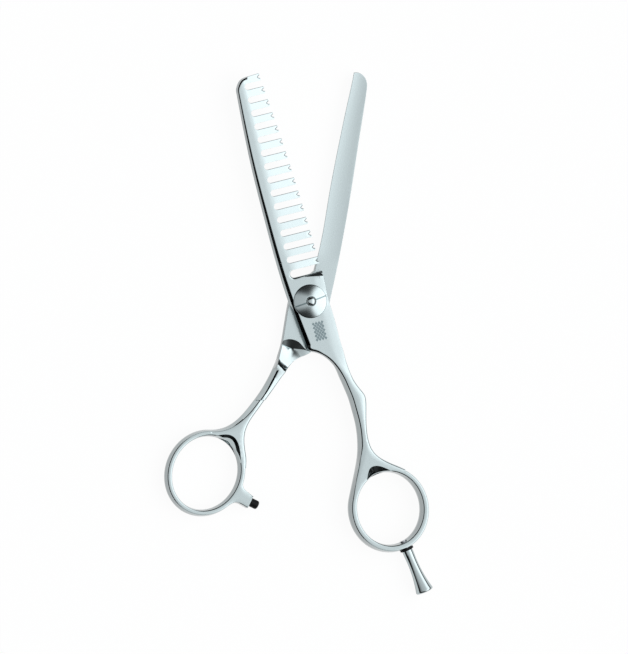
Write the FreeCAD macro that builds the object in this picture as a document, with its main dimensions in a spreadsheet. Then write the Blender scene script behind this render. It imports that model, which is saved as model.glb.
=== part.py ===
"""Hairdresser's thinning shears, 6 inch, with a ball-bearing pivot.

Millimetres. +Z is the pivot axis, +Y points towards the blade tips and the
origin is on the pivot axis in the plane that the shears lie on.
The shears stand open: the comb half points up and to the left and carries
the finger ring; the straight half points up and to the right, lies below it
and carries the thumb ring.
"""
import FreeCAD, Part
import math
import os

from FreeCAD import Placement, Rotation, Vector

doc = FreeCAD.newDocument("thinning_shears")

# ---------------------------------------------------------------- sizes

SIZES = {
    # levels along the pivot axis
    "plate_back": 0.25,         # back face of the straight blade
    "blade_thick": 2.6,         # both blades
    "ride_gap": 0.05,           # running gap between the blades
    "handle_level": 2.7,        # mid height of shanks and rings
    "handle_half": 2.7,         # half height of shanks and rings
    # comb blade
    "tooth_count": 15,
    "tooth_pitch": 4.18,
    "tooth_gap": 2.0,
    "last_gap_wider": 0.2,      # half of what the gap at the heel is wider by
    "tooth_slant": 13.5,        # teeth rise to the right by this many degrees
    "notch_depth": 0.7,         # V in the end of each tooth
    "notch_half_width": 0.45,
    "comb_bevel_in": 7.0,       # the toothed edge thins over this width
    "comb_bevel_down": 1.5,
    "comb_spine_bevel": 0.9,
    # straight blade
    "edge_bevel_in": 4.2,       # ground on the outer face
    "edge_bevel_up": 2.35,
    # rings: half axes of the openings, lean of the long axis, bar width
    "finger_long": 10.84,
    "finger_short": 9.84,
    "finger_lean": 10.6,
    "finger_x": 25.02,
    "finger_y": -63.09,
    "thumb_long": 11.1,
    "thumb_short": 9.75,
    "thumb_lean": -27.0,
    "thumb_x": -31.85,
    "thumb_y": -52.1,
    "ring_half_width": 1.3,
    "web_inset": 0.9,           # the web in each fork lies this far in
    # pivot
    "head_radius": 5.2,
    "head_rim": 0.45,
    "head_dome": 1.0,
    "head_recess_radius": 4.55,
    "head_recess": 0.32,
    "slot_width": 0.35,
    "slot_depth": 0.45,
    "slot_turn": 20.0,
    "journal_radius": 2.5,
    "thread_radius": 2.0,
    "cap_radius": 1.4,
    "cap_stem_radius": 0.8,
    "cap_ring": 0.15,           # groove round the cap
    "pocket_radius": 4.5,       # bearing pocket in the comb blade
    "pocket_depth": 1.5,
    "race_thick": 0.3,
    "race_inner": 2.7,
    "race_outer": 4.4,
    "ball_radius": 0.5,
    "ball_circle": 3.55,
    "ball_count": 14,
    "cage_thick": 0.4,
    "spring_thick": 0.25,
    "bush_inner": 2.55,
    "bush_outer": 3.2,
    "glide_outer": 4.4,
    "glide_thick": 0.28,
    "glide_pocket": 0.25,
    "nut_flange_radius": 4.0,
    "nut_flange": 0.6,
    "nut_floor": 0.3,           # closes the back of the threaded bush
    "nut_barrel_radius": 3.3,
    "run_clearance": 0.04,
    "head_gap": 0.08,           # head above the comb blade
    "cap_drop": 0.35,           # the cap's seat below the dome
    "stem_low": 4.6,            # where the cap's stem ends inside the screw
    "nut_top": 2.4,
    # bumper on the thumb ring
    "arm_radius": 2.1,
    "arm_length": 5.2,
    "bumper_radius": 1.35,
    "bumper_out": 2.2,
    "bumper_in": 2.4,
    "bumper_core_radius": 0.5,
    "bumper_dip": 25.6,         # degrees below the horizontal
    "bumper_x": -17.65,         # middle of the arm's end face
    "bumper_y": -61.1,
    # finger rest
    "rest_length": 14.0,
    "rest_neck_radius": 1.65,
    "rest_end_radius": 2.7,
    "rest_dip": 66.3,           # degrees below the horizontal
    "rest_x": 30.72,            # middle of its seat on the washer
    "rest_y": -75.62,
    "rest_washer_radius": 2.1,
    "rest_washer_thick": 0.6,
    "stud_radius": 1.0,
    "stud_in_rest": 5.0,
    "stud_reach": 3.1,          # from the seat into the ring wall
}

sheet = doc.addObject("Spreadsheet::Sheet", "sizes")
for row, (alias, value) in enumerate(SIZES.items(), start=1):
    sheet.set("A%d" % row, alias)
    sheet.set("B%d" % row, str(value))
    sheet.setAlias("B%d" % row, alias)
doc.recompute()


def size(alias):
    """The value of one cell of the sheet."""
    return float(sheet.get(alias))


COMB_LOW = "sizes.plate_back + sizes.blade_thick + sizes.ride_gap"
COMB_TOP = "sizes.plate_back + 2 * sizes.blade_thick + sizes.ride_gap"
comb_low = size("plate_back") + size("blade_thick") + size("ride_gap")
comb_top = comb_low + size("blade_thick")
straight_top = size("plate_back") + size("blade_thick")


# wedge cutters are longer than any run that they bevel, and reach past the edge
BEVEL_LENGTH = 70
BEYOND = 3.0
UP = Vector(0, 0, 1)

# ---------------------------------------------------------------- helpers

def bind(thing, **formulas):
    """Bind properties of an object to formulas on the sheet."""
    for name, formula in formulas.items():
        thing.setExpression(name, formula)
    return thing


def lift(thing, formula):
    """Bind the height of an object to a formula on the sheet."""
    thing.setExpression(".Placement.Base.z", formula)
    return thing


def spline(points, first=None, last=None):
    """A smooth curve through points; first and last give its end directions."""
    curve = Part.BSplineCurve()
    vectors = [Vector(x, y, 0) for x, y in points]
    if first and last:
        curve.interpolate(Points=vectors, InitialTangent=Vector(*first, 0),
                          FinalTangent=Vector(*last, 0))
    else:
        curve.interpolate(vectors)
    return curve


def line(start, end):
    return Part.LineSegment(Vector(*start, 0), Vector(*end, 0))


def body(name):
    return doc.addObject("PartDesign::Body", name)


def plane(owner, role):
    """One of a body's own origin planes, by its role."""
    return next(part for part in owner.Origin.OriginFeatures if part.Role == role)


def sketch(owner, name, curves, role="XY_Plane", height=None):
    """A sketch on one of a body's planes, at a height bound to the sheet."""
    drawing = owner.newObject("Sketcher::SketchObject", name)
    drawing.AttachmentSupport = [(plane(owner, role), "")]
    drawing.MapMode = "FlatFace"
    for curve in curves:
        drawing.addGeometry(curve, False)
    if height:
        drawing.setExpression(".AttachmentOffset.Base.z", height)
    return drawing


def pad(owner, name, drawing, length):
    feature = owner.newObject("PartDesign::Pad", name)
    feature.Profile = drawing
    feature.setExpression("Length", length)
    return feature


def pocket(owner, name, drawing, length):
    """A pocket that cuts upwards from its sketch."""
    feature = owner.newObject("PartDesign::Pocket", name)
    feature.Profile = drawing
    feature.Reversed = True
    feature.setExpression("Length", length)
    return feature


def wedge(owner, name, foot, run, inward, inward_size, low, depth, upward=True):
    """A pocket that bevels a plate along a straight run, square to it.

    It starts at foot and follows run; inward points from the edge into the plate.
    The bevel begins at the face at height low, this far in, and is this deep at the edge.
    """
    side = 1 if upward else -1
    slope = depth / inward_size
    drawing = owner.newObject("Sketcher::SketchObject", name + "_outline")
    drawing.AttachmentSupport = [(plane(owner, "XY_Plane"), "")]
    drawing.MapMode = "FlatFace"
    drawing.AttachmentOffset = Placement(Vector(foot[0], foot[1], low),
                                         Rotation(inward, UP, inward.cross(UP), "XYZ"))
    corners = [(inward_size, 0), (-BEYOND, -side * slope * (inward_size + BEYOND)),
               (-BEYOND, side * BEYOND), (inward_size, side * BEYOND)]
    for start, end in zip(corners, corners[1:] + corners[:1]):
        drawing.addGeometry(line(start, end), False)
    feature = owner.newObject("PartDesign::Pocket", name)
    feature.Profile = drawing
    feature.Reversed = inward.cross(UP).dot(run) > 0
    feature.Length = BEVEL_LENGTH
    return feature


def spine_bevel(owner, name, base, height, spine, width):
    """A chamfer along the edges of a plate whose middles lie on its spine."""
    edges = []
    for number, edge in enumerate(base.Shape.Edges, start=1):
        middle = edge.valueAt((edge.FirstParameter + edge.LastParameter) / 2)
        on_face = abs(edge.BoundBox.ZMin - height) < 1e-4 and abs(middle.z - height) < 1e-4
        flat = Vector(middle.x, middle.y, 0)
        if on_face and spine.toShape().distToShape(Part.Vertex(flat))[0] < 0.01:
            edges.append("Edge%d" % number)
    feature = owner.newObject("PartDesign::Chamfer", name)
    feature.Base = (base, edges)
    feature.setExpression("Size", width)
    return feature


def primitive(kind, name, **formulas):
    return bind(doc.addObject("Part::" + kind, name), **formulas)


def cut(name, base, tool):
    result = doc.addObject("Part::Cut", name)
    result.Base = base
    result.Tool = tool
    return result


def fuse(name, shapes):
    result = doc.addObject("Part::MultiFuse", name)
    result.Shapes = shapes
    return result


def turned(name, profile):
    """A body turned about its own Z axis.

    The profile is a closed list of (radius, height) corners; an entry of four
    numbers (via radius, via height, radius, height) ends an arc.
    """
    part = body(name)
    curves = []
    start = profile[0]
    for entry in profile[1:] + profile[:1]:
        end = entry[-2:]
        if len(entry) == 4:
            curves.append(Part.Arc(*(Vector(r, z, 0) for r, z in (start, entry[:2], end))))
        else:
            curves.append(line(start, end))
        start = end
    drawing = sketch(part, name + "_profile", curves, role="XZ_Plane")
    feature = part.newObject("PartDesign::Revolution", name + "_turn")
    feature.Profile = drawing
    feature.ReferenceAxis = (drawing, ["V_Axis"])
    feature.Angle = 360
    return part


def on_axis(part, centre, height, degrees):
    """Lay a turned part down: its Z axis points this far below +X in the XY plane."""
    tilt = Rotation(Vector(0, 0, 1), -degrees)
    part.Placement = Placement(Vector(centre[0], centre[1], height),
                               tilt.multiply(Rotation(Vector(0, 1, 0), 90)))
    return part


# ---------------------------------------------------------------- shanks and rings

def shank(name, stations):
    """A bar lofted through ellipses: (x, y, half width, low, high) from neck to ring."""
    sections = []
    for number, (x, y, half_width, low, high) in enumerate(stations):
        before = stations[max(number - 1, 0)]
        after = stations[min(number + 1, len(stations) - 1)]
        run = Vector(after[0] - before[0], after[1] - before[1], 0).normalize()
        across = Vector(-run.y, run.x, 0)
        section = doc.addObject("Part::Ellipse", "%s_section_%d" % (name, number))
        half_height = (high - low) / 2
        section.MajorRadius = max(half_width, half_height)
        section.MinorRadius = min(half_width, half_height)
        long_way, short_way = (across, UP) if half_width >= half_height else (UP, across)
        turn = Rotation(long_way, short_way, long_way.cross(short_way), "XYZ")
        section.Placement = Placement(Vector(x, y, (low + high) / 2), turn)
        sections.append(section)
    loft = doc.addObject("Part::Loft", name)
    loft.Sections = sections
    loft.Solid = True
    loft.Ruled = False
    return loft


def ellipse_disc(name, prefix, extra, low, tall):
    """An upright elliptical prism round a ring's centre, wider than its opening by extra."""
    outline = primitive("Ellipse", name + "_outline",
                        MajorRadius="sizes.%s_long + %s" % (prefix, extra),
                        MinorRadius="sizes.%s_short + %s" % (prefix, extra))
    outline.Placement = Placement(Vector(size(prefix + "_x"), size(prefix + "_y"), low),
                                  Rotation(Vector(0, 0, 1), 90 + size(prefix + "_lean")))
    prism = doc.addObject("Part::Extrusion", name)
    prism.Base = outline
    prism.DirMode = "Custom"
    prism.Dir = Vector(0, 0, 1)
    prism.LengthFwd = tall
    prism.Solid = True
    return prism


def ring(prefix):
    """A ring's bar: an upright oval swept round an ellipse, in four quarters."""
    centre = Vector(size(prefix + "_x"), size(prefix + "_y"), size("handle_level"))
    lean = Rotation(Vector(0, 0, 1), 90 + size(prefix + "_lean"))
    long_radius, short_radius = ring_radii(prefix)
    middle_line = Part.Ellipse(Vector(0, 0, 0), long_radius, short_radius)
    path = doc.addObject("Sketcher::SketchObject", prefix + "_ring_path")
    for quarter in range(4):
        start = quarter * math.pi / 2
        path.addGeometry(Part.ArcOfEllipse(middle_line, start, start + math.pi / 2), False)
    path.Placement = Placement(centre, lean)
    bar = primitive("Ellipse", prefix + "_ring_bar",
                    MajorRadius="sizes.handle_half", MinorRadius="sizes.ring_half_width")
    start = lean.multVec(Vector(long_radius, 0, 0)) + centre
    outward = lean.multVec(Vector(1, 0, 0))
    bar.Placement = Placement(start, Rotation(UP, outward, UP.cross(outward), "XYZ"))
    sweep = doc.addObject("Part::Sweep", prefix + "_ring")
    sweep.Sections = [bar]
    sweep.Spine = (path, ["Edge1", "Edge2", "Edge3", "Edge4"])
    sweep.Solid = True
    sweep.Frenet = True
    return sweep


def ring_radii(prefix):
    """Half axes of the middle line of a ring's bar."""
    half_width = size("ring_half_width")
    return size(prefix + "_long") + half_width, size(prefix + "_short") + half_width


def web(name, prefix, outer_side, inner_side):
    """The fork between shank and ring: a plate between two curves, open inside the ring."""
    part = body(name + "_plate")
    curves = [spline(outer_side), line(outer_side[-1], inner_side[-1]),
              spline(inner_side[::-1]), line(inner_side[0], outer_side[0])]
    drawing = sketch(part, name + "_outline", curves, height="sizes.web_inset")
    pad(part, name + "_pad", drawing, "2 * (sizes.handle_level - sizes.web_inset)")
    opening = ellipse_disc(name + "_opening", prefix, "0.3", -1, 8)
    return cut(name, part, opening)


# ---------------------------------------------------------------- comb half

def comb_tooth_ends():
    """The notch point of each tooth, from the tip to the heel: the row curves slightly."""
    point = Vector(-16.05, 68.04, 0)
    ends = [point]
    for number in range(1, int(size("tooth_count"))):
        lean = math.radians(20.8 - 0.36 * number)
        step = Vector(math.sin(lean), -math.cos(lean), 0)
        point = point + step * size("tooth_pitch")
        ends.append(point)
    return ends


COMB_SPINE = [(-22.44, 63.5), (-20.58, 53.8), (-17.41, 39.2), (-13.66, 24.65),
              (-9.62, 10.1), (-6.15, -0.55), (-3.4, -8.0), (-0.95, -14.2)]
COMB_ARCH = [(-0.95, -14.2), (1.5, -15.5), (4.3, -16.9), (6.6, -18.6)]
COMB_FRONT = [(4.0, 8.5), (4.6, 5.8), (5.65, 0.95), (7.54, -5.1), (9.5, -12.4), (12.0, -19.0)]
FINGER_SHANK = [(6.2, -11.5, 2.3, 3.4, 5.2), (8.3, -15.6, 2.6, 3.0, 5.4),
                (10.2, -19.7, 2.1, 1.2, 5.4), (11.9, -23.3, 1.9, 0.25, 5.4),
                (13.9, -27.0, 2.35, 0.05, 5.4), (15.0, -29.6, 2.7, 0.05, 5.4),
                (15.9, -34.2, 2.15, 0.05, 5.4), (16.6, -39.5, 1.65, 0.05, 5.4),
                (17.6, -43.6, 2.0, 0.3, 5.1), (19.0, -47.5, 2.3, 0.6, 4.8)]


def comb_blade():
    """The toothed plate with its neck."""
    part = body("comb_blade")
    ends = comb_tooth_ends()
    slant = math.radians(size("tooth_slant"))
    along = Vector(math.cos(slant), math.sin(slant), 0)
    down = Vector(math.sin(slant), -math.cos(slant), 0)
    shown = (ends[0], ends[len(ends) // 2], ends[-1])
    end_line = [tuple((end + along * size("notch_depth"))[:2]) for end in shown]
    tooth_top = ends[0] - down + along * size("notch_depth")
    corner = (-19.7, 68.05)
    first = (tooth_top.x, tooth_top.y)
    curves = [spline(COMB_SPINE), spline(COMB_ARCH), line(COMB_ARCH[-1], COMB_FRONT[-1]),
              spline(COMB_FRONT[::-1]), line(COMB_FRONT[0], end_line[-1]),
              spline(end_line[::-1]), line(end_line[0], first), line(first, corner),
              spline([corner, (-21.5, 66.7), COMB_SPINE[0]])]
    drawing = sketch(part, "comb_outline", curves, height=COMB_LOW)
    blank = pad(part, "comb_plate", drawing, "sizes.blade_thick")
    doc.recompute()
    spine_bevel(part, "comb_spine_bevel", blank, comb_top, spline(COMB_SPINE),
                "sizes.comb_spine_bevel")

    row = (ends[0] - ends[-1]).normalize()
    foot = ends[-1] + down * size("tooth_pitch") / 2
    wedge(part, "comb_edge_bevel", foot, row, Vector(-row.y, row.x, 0),
          size("comb_bevel_in"), comb_top, size("comb_bevel_down"))
    doc.recompute()
    gaps = tooth_gaps(ends, along, down) + tooth_notches(ends, along, down)
    drawing = sketch(part, "tooth_gap_outlines", gaps, height=COMB_LOW + " - 1")
    pocket(part, "tooth_gaps", drawing, "sizes.blade_thick + 2")
    return part


def gap_roots(ends, down):
    """Where each gap between two teeth stops: the teeth grow longer towards the heel."""
    tip_root, heel_root = Vector(-20.46, 65.55, 0), Vector(-7.24, 12.42, 0)
    span = heel_root - tip_root
    pitch = size("tooth_pitch")
    roots = []
    for end in ends:
        middle = end + down * (pitch / 2)
        share = (middle - tip_root).dot(span) / span.dot(span)
        roots.append((middle, tip_root + span * share))
    return roots


def tooth_gaps(ends, along, down):
    """Closed outlines of the gaps, each with a round root."""
    half = size("tooth_gap") / 2
    curves = []
    for number, (middle, root) in enumerate(gap_roots(ends, down)):
        last = number == len(ends) - 1
        wider = size("last_gap_wider") if last else 0.0
        half_gap = half + wider
        middle = middle + down * wider
        start = middle + along * ((root - middle).dot(along) + half_gap)
        far = middle + along * 4
        corners = [far - down * half_gap, start - down * half_gap,
                   start - along * half_gap, start + down * half_gap, far + down * half_gap]
        curves += [Part.LineSegment(corners[0], corners[1]),
                   Part.Arc(corners[1], corners[2], corners[3]),
                   Part.LineSegment(corners[3], corners[4]),
                   Part.LineSegment(corners[4], corners[0])]
    return curves


def tooth_notches(ends, along, down):
    """The V in the end of each tooth, which holds the hair."""
    curves = []
    for end in ends:
        far = end + along * (2 * size("notch_depth"))
        half_width = size("notch_half_width") * 2
        corners = [end, far - down * half_width, far + down * half_width]
        curves += [Part.LineSegment(a, b) for a, b in zip(corners, corners[1:] + corners[:1])]
    return curves


def rod(name, centre, height, degrees, radius, start, length):
    """A cylinder along a lying axis, from start (along the axis) for length."""
    cylinder = primitive("Cylinder", name, Radius=radius, Height=length)
    turn = Rotation(Vector(0, 0, 1), -degrees).multiply(Rotation(Vector(0, 1, 0), 90))
    shift = turn.multVec(Vector(0, 0, start))
    cylinder.Placement = Placement(Vector(centre[0], centre[1], height) + shift, turn)
    return cylinder


def bore(name, radius, low, tall):
    """An upright cylinder on the pivot axis, used as a cutter."""
    cylinder = primitive("Cylinder", name, Radius=radius, Height=tall)
    return lift(cylinder, low)


REST_SEAT = (size("rest_x"), size("rest_y"))
ARM_END = (size("bumper_x"), size("bumper_y"))


def comb_half():
    blade = comb_blade()
    outer_side = [(15.3, -42.5), (15.4, -45.2), (15.05, -48.8), (14.1, -52.5),
                  (13.2, -56.2), (12.9, -60.0)]
    inner_side = [(18.3, -41.0), (19.2, -42.6), (20.2, -45.2), (22.0, -47.5),
                  (25.0, -49.0), (29.0, -50.9)]
    fork = web("finger_web", "finger", outer_side, inner_side)
    forged = fuse("comb_forging", [blade, shank("finger_shank", FINGER_SHANK), ring("finger"), fork])
    cutters = [
        bore("bush_bore", "sizes.bush_outer", COMB_LOW + " - 1", "sizes.blade_thick + 2"),
        bore("bearing_pocket", "sizes.pocket_radius", COMB_TOP + " - sizes.pocket_depth",
             "sizes.pocket_depth + 1"),
        rod("stud_bore", REST_SEAT, size("handle_level"), size("rest_dip"),
            "sizes.stud_radius + sizes.run_clearance", -6, "6"),
        rod("rest_seat", REST_SEAT, size("handle_level"), size("rest_dip"),
            "sizes.rest_washer_radius + 0.2", -size("rest_washer_thick"), "3"),
    ]
    half = cut("comb_half", forged, fuse("comb_cutters", cutters))
    return half


# ---------------------------------------------------------------- straight half

EDGE = [(2.1, 9.4), (2.92, 13.7), (3.97, 18.4), (6.36, 31.9), (9.19, 46.5), (12.29, 61.1), (13.9, 68.4)]
STRAIGHT_SPINE = [(18.19, 65.2), (15.92, 50.15), (13.63, 35.6), (11.08, 21.0), (8.91, 10.1),
                  (6.89, 0.95), (5.3, -6.0), (2.9, -13.0)]
STRAIGHT_ARCH = [(2.9, -13.0), (1.2, -15.2), (-1.6, -16.4), (-4.2, -17.9), (-6.3, -20.2)]
STRAIGHT_BACK = [(2.1, 9.4), (0.2, 8.0), (-3.0, 6.0), (-5.0, 3.0), (-5.75, 0.4),
                 (-6.6, -4.0), (-8.1, -11.0), (-9.8, -16.0), (-11.3, -20.2)]
THUMB_SHANK = [(-4.6, -12.0, 2.2, 0.3, 2.2), (-6.2, -15.2, 2.6, 0.25, 2.85),
               (-8.3, -19.6, 2.3, 0.1, 4.4), (-10.6, -23.2, 2.05, 0.0, 5.2),
               (-12.8, -26.9, 1.75, 0.0, 5.4), (-15.4, -30.5, 1.65, 0.0, 5.4),
               (-18.0, -33.6, 1.75, 0.1, 5.3), (-20.8, -36.8, 2.3, 0.5, 4.9)]


def straight_blade():
    """The plain plate with its neck; the edge is ground on the outer face."""
    part = body("straight_blade")
    curves = [spline(EDGE), spline([(13.9, 68.4), (15.2, 70.0), (17.3, 68.3), (18.19, 65.2)]),
              spline(STRAIGHT_SPINE), spline(STRAIGHT_ARCH),
              line(STRAIGHT_ARCH[-1], STRAIGHT_BACK[-1]), spline(STRAIGHT_BACK[::-1])]
    drawing = sketch(part, "straight_outline", curves, height="sizes.plate_back")
    pad(part, "straight_plate", drawing, "sizes.blade_thick")
    run = Vector(0.197, 0.9804, 0)
    wedge(part, "straight_edge_bevel", EDGE[0], run, Vector(run.y, -run.x, 0),
          size("edge_bevel_in"), size("plate_back"), size("edge_bevel_up"), upward=False)
    return part


def bumper_arm():
    """The short tapered stub on the thumb ring that holds the bumper."""
    length = size("arm_length")
    arm = primitive("Cone", "bumper_arm", Radius1="sizes.arm_radius + 0.6",
                    Radius2="sizes.arm_radius", Height="sizes.arm_length")
    turn = Rotation(Vector(0, 0, 1), -size("bumper_dip")).multiply(Rotation(Vector(0, 1, 0), 90))
    base = Vector(ARM_END[0], ARM_END[1], size("handle_level")) - turn.multVec(Vector(0, 0, length))
    arm.Placement = Placement(base, turn)
    return arm


def straight_half():
    outer_side = [(-19.0, -32.7), (-20.9, -34.5), (-23.0, -36.3), (-25.6, -37.9),
                  (-29.6, -39.2), (-33.0, -40.0)]
    inner_side = [(-17.6, -36.0), (-18.8, -38.2), (-19.6, -40.5), (-19.75, -43.4),
                  (-19.5, -47.0), (-20.2, -50.0)]
    fork = web("thumb_web", "thumb", outer_side, inner_side)
    forged = fuse("straight_forging", [straight_blade(), shank("thumb_shank", THUMB_SHANK),
                                       ring("thumb"), fork, bumper_arm()])
    cutters = [
        bore("nut_bore", "sizes.nut_barrel_radius", "-1", "5"),
        bore("nut_seat", "sizes.nut_flange_radius", "-1", "1 + sizes.nut_flange"),
        bore("glide_pocket", "sizes.glide_outer",
             "sizes.plate_back + sizes.blade_thick - sizes.glide_pocket", "1"),
        rod("bumper_bore", ARM_END, size("handle_level"), size("bumper_dip"),
            "sizes.bumper_radius", -size("bumper_in"), "6"),
    ]
    half = cut("straight_half", forged, fuse("straight_cutters", cutters))
    return half


# ---------------------------------------------------------------- pivot

HEAD_LOW = comb_top + size("head_gap")
RECESS_TOP = HEAD_LOW + size("head_recess")
RIM_TOP = HEAD_LOW + size("head_rim")
HEAD_TOP = RIM_TOP + size("head_dome")
NUT_TOP = size("nut_top")
DOME_EDGE = HEAD_TOP - 0.08          # the dome's height at the groove round the cap


def washer(name, inner, outer, low, high):
    """A flat ring on the pivot axis."""
    return turned(name, [(inner, low), (outer, low), (outer, high), (inner, high)])


def pivot_screw():
    """A dished disc on a journal with a threaded end, slotted across the disc."""
    rim, recess = size("head_radius"), size("head_recess_radius")
    groove = size("cap_radius") + size("cap_ring")
    journal, thread, stem = (size("journal_radius"), size("thread_radius"),
                             size("cap_stem_radius"))
    seat = DOME_EDGE - size("cap_drop")
    stem_low = size("stem_low")
    solid = turned("pivot_screw_blank", [
        (0, 0.35), (thread, 0.35), (thread, NUT_TOP + 0.05), (journal, NUT_TOP + 0.05),
        (journal, RECESS_TOP), (recess, RECESS_TOP), (recess, HEAD_LOW), (rim, HEAD_LOW),
        (rim, RIM_TOP), ((rim + groove) / 2, RIM_TOP + 0.62, groove, DOME_EDGE),
        (groove, seat), (stem, seat), (stem, stem_low), (0, stem_low)])
    slot = primitive("Box", "screw_slot", Length="3 * sizes.head_radius", Width="sizes.slot_width",
                     Height="2")
    turn = Rotation(Vector(0, 0, 1), size("slot_turn"))
    corner = turn.multVec(Vector(-1.5 * rim, -size("slot_width") / 2, 0))
    slot.Placement = Placement(corner + Vector(0, 0, HEAD_TOP - size("slot_depth") - 0.3), turn)
    return cut("pivot_screw", solid, slot)


def centre_cap():
    """The domed button in the middle of the screw."""
    radius, stem = size("cap_radius"), size("cap_stem_radius")
    seat = DOME_EDGE - size("cap_drop")
    stem_low = size("stem_low")
    return turned("centre_cap", [(0, stem_low), (stem, stem_low), (stem, seat), (radius, seat),
                                 (radius, seat + 0.3), (radius * 0.72, seat + 0.95, 0.2, seat + 1.2),
                                 (0, seat + 1.2)])


def bearing():
    """Cage and balls of the thrust bearing, between the two races."""
    floor = comb_top - size("pocket_depth")
    middle = floor + size("race_thick") + size("ball_radius")
    half_cage = size("cage_thick") / 2
    blank = washer("cage_blank", size("race_inner") + 0.1, size("race_outer") - 0.05,
                   middle - half_cage, middle + half_cage)
    holes, balls = [], []
    for number in range(int(size("ball_count"))):
        angle = 2 * math.pi * number / size("ball_count")
        spot = Vector(math.cos(angle), math.sin(angle), 0) * size("ball_circle")
        ball = primitive("Sphere", "ball_%d" % number, Radius="sizes.ball_radius - 0.01")
        ball.Placement.Base = spot + Vector(0, 0, middle)
        hole = primitive("Cylinder", "cage_hole_%d" % number,
                         Radius="sizes.ball_radius + 0.03", Height="2")
        hole.Placement.Base = spot + Vector(0, 0, middle - 1)
        balls.append(ball)
        holes.append(hole)
    cage = cut("ball_cage", blank, fuse("cage_holes", holes))
    ring_of_balls = doc.addObject("Part::Compound", "bearing_balls")
    ring_of_balls.Links = balls
    return cage, ring_of_balls


def races():
    """The lower race in the comb blade's pocket and the upper race under the head."""
    inner, outer, thick = size("race_inner"), size("race_outer"), size("race_thick")
    floor = comb_top - size("pocket_depth")
    low = washer("lower_race", inner, size("pocket_radius"), floor, floor + thick)
    top = floor + thick + 2 * size("ball_radius")
    high = washer("upper_race", size("journal_radius"), outer, top, top + thick)
    spring = washer("tension_spring", size("journal_radius"), outer, top + thick, RECESS_TOP)
    return low, high, spring


def pivot_nut():
    bore_radius = size("thread_radius") + size("run_clearance")
    flange, barrel = size("nut_flange_radius"), size("nut_barrel_radius")
    step = size("nut_flange")
    floor = size("nut_floor")
    return turned("pivot_nut", [(0, 0), (flange, 0), (flange, step), (barrel, step),
                                (barrel, NUT_TOP), (bore_radius, NUT_TOP),
                                (bore_radius, floor), (0, floor)])


def glide_washer():
    low = straight_top - size("glide_pocket")
    return washer("glide_washer", size("bush_inner"), size("glide_outer"), low,
                  low + size("glide_thick"))


def pivot_bush():
    floor = comb_top - size("pocket_depth")
    return washer("pivot_bush", size("bush_inner"), size("bush_outer"), comb_low, floor)


# ---------------------------------------------------------------- bumper and finger rest

def bumper():
    """The rubber bumper with its core, turned about an axis that leaves the arm."""
    radius, core = size("bumper_radius"), size("bumper_core_radius")
    out, inside = size("bumper_out"), size("bumper_in")
    rubber = turned("stop_bumper", [
        (core, -inside), (radius, -inside), (radius, out - 0.7),
        (radius * 0.86, out - 0.2, radius * 0.5, out), (0, out), (0, out - 0.7), (core, out - 0.7)])
    pin = turned("bumper_core", [(0, -inside), (core, -inside), (core, out - 0.7), (0, out - 0.7)])
    for piece in (rubber, pin):
        on_axis(piece, ARM_END, size("handle_level"), size("bumper_dip"))
    return rubber, pin


def finger_rest():
    """The trumpet-shaped rest, its washer and the stud that holds it to the ring."""
    neck, end, length = size("rest_neck_radius"), size("rest_end_radius"), size("rest_length")
    stud, deep = size("stud_radius"), size("stud_in_rest")
    rest = turned("finger_rest", [
        (stud, 0), (neck - 0.15, 0), (neck, 0.15), (neck, 1.5),
        (neck + 0.17, length * 0.6, end, length - 0.7),
        (end - 0.12, length - 0.3, end - 0.5, length - 0.1),
        (end * 0.5, length + 0.05, 0.3, length + 0.1), (0, length + 0.1), (0, deep), (stud, deep)])
    washer_piece = turned("rest_washer", [
        (stud + size("run_clearance"), -size("rest_washer_thick")),
        (size("rest_washer_radius"), -size("rest_washer_thick")), (size("rest_washer_radius"), 0),
        (stud + size("run_clearance"), 0)])
    screw = turned("rest_stud", [(0, -size("stud_reach")), (stud, -size("stud_reach")),
                                 (stud, deep), (0, deep)])
    for piece in (rest, washer_piece, screw):
        on_axis(piece, REST_SEAT, size("handle_level"), size("rest_dip"))
    return rest, washer_piece, screw


# ---------------------------------------------------------------- build and write

pieces = [comb_half(), straight_half(), pivot_screw(), centre_cap(), pivot_nut(), glide_washer(),
          pivot_bush(), *races(), *bearing(), *bumper(), *finger_rest()]
doc.recompute()

for thing in doc.Objects:
    if "Invalid" in thing.State or "Error" in thing.State:
        raise RuntimeError("%s failed: %s" % (thing.Name, thing.State))

os.makedirs("parts", exist_ok=True)
for piece in pieces:
    if piece.Shape.isNull() or not piece.Shape.isValid():
        raise RuntimeError("%s has no valid shape" % piece.Label)
    piece.Shape.exportStep("parts/%s.step" % piece.Label)
    print("%-16s %9.2f mm3, %d solid(s)" % (piece.Label, piece.Shape.Volume,
                                            len(piece.Shape.Solids)))
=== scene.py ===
"""Thinning shears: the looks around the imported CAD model, in its own frame, in metres.

Each half is a plate: a region in plan between an upper and a lower height, both worked out
from the place and from the distance to the edge. So is the pivot's disc; its journal and its
button are turned.
"""

import math

import bmesh
import bpy
import numpy as np
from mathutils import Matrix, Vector
from mathutils.geometry import delaunay_2d_cdt
from mathutils.kdtree import KDTree


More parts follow.
